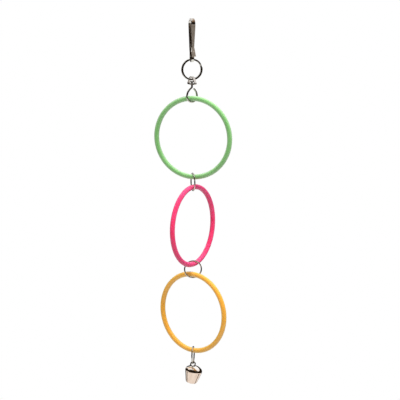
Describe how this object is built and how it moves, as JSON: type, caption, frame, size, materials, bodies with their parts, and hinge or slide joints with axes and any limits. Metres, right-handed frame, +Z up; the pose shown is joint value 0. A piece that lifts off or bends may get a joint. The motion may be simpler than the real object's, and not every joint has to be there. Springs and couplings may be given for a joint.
{
  "type": "bird swing",
  "caption": "Hanging bird swing: snap hook, split ring and swivel over three plastic hoops on wire jump rings, with a petal bell at the bottom.",
  "frame": {"origin": "centre of the hook's arch, where the cage bar lies", "axes": "+Z up along the hanging line, +X right and +Y away from the viewer of the picture"},
  "size_m": [0.0702, 0.0655, 0.3348],
  "materials": {
    "green_plastic": "satin moulded plastic, apple green",
    "pink_plastic": "satin moulded plastic, hot pink, a little translucent",
    "orange_plastic": "satin moulded plastic, amber orange",
    "hook_nickel": "bright nickel plate on a casting",
    "gate_steel": "nickel plated pressed sheet",
    "spring_steel": "plain spring steel",
    "wire_nickel": "bright nickel plate on steel wire",
    "bell_nickel": "bright nickel plate on thin sheet",
    "pellet_steel": "plain steel ball"
  },
  "bodies": {
    "hook": {"hook_body": "hook_nickel", "gate_pin": "wire_nickel", "gate_spring": "spring_steel"},
    "gate": {"gate_lever": "gate_steel"},
    "split_ring": {"split_ring": "wire_nickel"},
    "swivel_yoke": {"swivel_yoke": "wire_nickel"},
    "swivel_eye": {"swivel_eye": "wire_nickel"},
    "green_hoop": {"green_hoop": "green_plastic"},
    "upper_link": {"upper_link": "wire_nickel"},
    "pink_hoop": {"pink_hoop": "pink_plastic"},
    "middle_link": {"middle_link": "wire_nickel"},
    "orange_hoop": {"orange_hoop": "orange_plastic"},
    "lower_link": {"lower_link": "wire_nickel"},
    "bell": {"bell_bail": "wire_nickel", "bell_shell": "bell_nickel"},
    "pellet": {"bell_pellet": "pellet_steel"}
  },
  "joints": [
    {"name": "gate_swing", "type": "hinge", "parent": "hook", "child": "gate", "pos_m": [0.00033, -0.00115, -0.02], "axis": [-0.9613, -0.2756, 0], "range_deg": [0, 16], "stiffness_Nm_per_rad": 0.004, "springref_deg": -6.88, "deforming": ["gate_spring"]},
    {"name": "ring_swing", "type": "hinge", "parent": "hook", "child": "split_ring", "pos_m": [0, 0, -0.03025], "axis": [0.9613, 0.2756, 0], "range_deg": [-60, 60]},
    {"name": "yoke_travel", "type": "hinge", "parent": "split_ring", "child": "swivel_yoke", "pos_m": [0, 0, -0.04022], "axis": [0.2756, -0.9613, 0], "range_deg": [-60, 60]},
    {"name": "swivel_spin", "type": "hinge", "parent": "swivel_yoke", "child": "swivel_eye", "pos_m": [0, 0, -0.05297], "axis": [0, 0, 1], "continuous": true},
    {"name": "green_swing", "type": "hinge", "parent": "swivel_eye", "child": "green_hoop", "pos_m": [0.0008, -0.00032, -0.06612], "axis": [-0.9259, 0.3778, 0], "range_deg": [-60, 60]},
    {"name": "upper_link_swing", "type": "hinge", "parent": "green_hoop", "child": "upper_link", "pos_m": [0.0008, -0.00032, -0.13712], "axis": [0.9259, -0.3778, 0], "range_deg": [-60, 60]},
    {"name": "pink_swing", "type": "hinge", "parent": "upper_link", "child": "pink_hoop", "pos_m": [0.0008, -0.00032, -0.14652], "axis": [-0.512, -0.859, 0], "range_deg": [-60, 60]},
    {"name": "middle_link_swing", "type": "hinge", "parent": "pink_hoop", "child": "middle_link", "pos_m": [0.0008, -0.00032, -0.21752], "axis": [0.512, 0.859, 0], "range_deg": [-60, 60]},
    {"name": "orange_swing", "type": "hinge", "parent": "middle_link", "child": "orange_hoop", "pos_m": [0.0008, -0.00032, -0.22692], "axis": [-0.7891, 0.6143, 0], "range_deg": [-60, 60]},
    {"name": "lower_link_swing", "type": "hinge", "parent": "orange_hoop", "child": "lower_link", "pos_m": [0.0008, -0.00032, -0.29792], "axis": [0.7891, -0.6143, 0], "range_deg": [-60, 60]},
    {"name": "bell_swing", "type": "hinge", "parent": "lower_link", "child": "bell", "pos_m": [0.0008, -0.00032, -0.31037], "axis": [-0.1305, -0.9914, 0], "range_deg": [-60, 60]},
    {"name": "pellet_roll", "type": "hinge", "parent": "bell", "child": "pellet", "pos_m": [0.00066, -0.00031, -0.32071], "axis": [0.1305, 0.9914, 0], "range_deg": [-11, 37]}
  ]
}
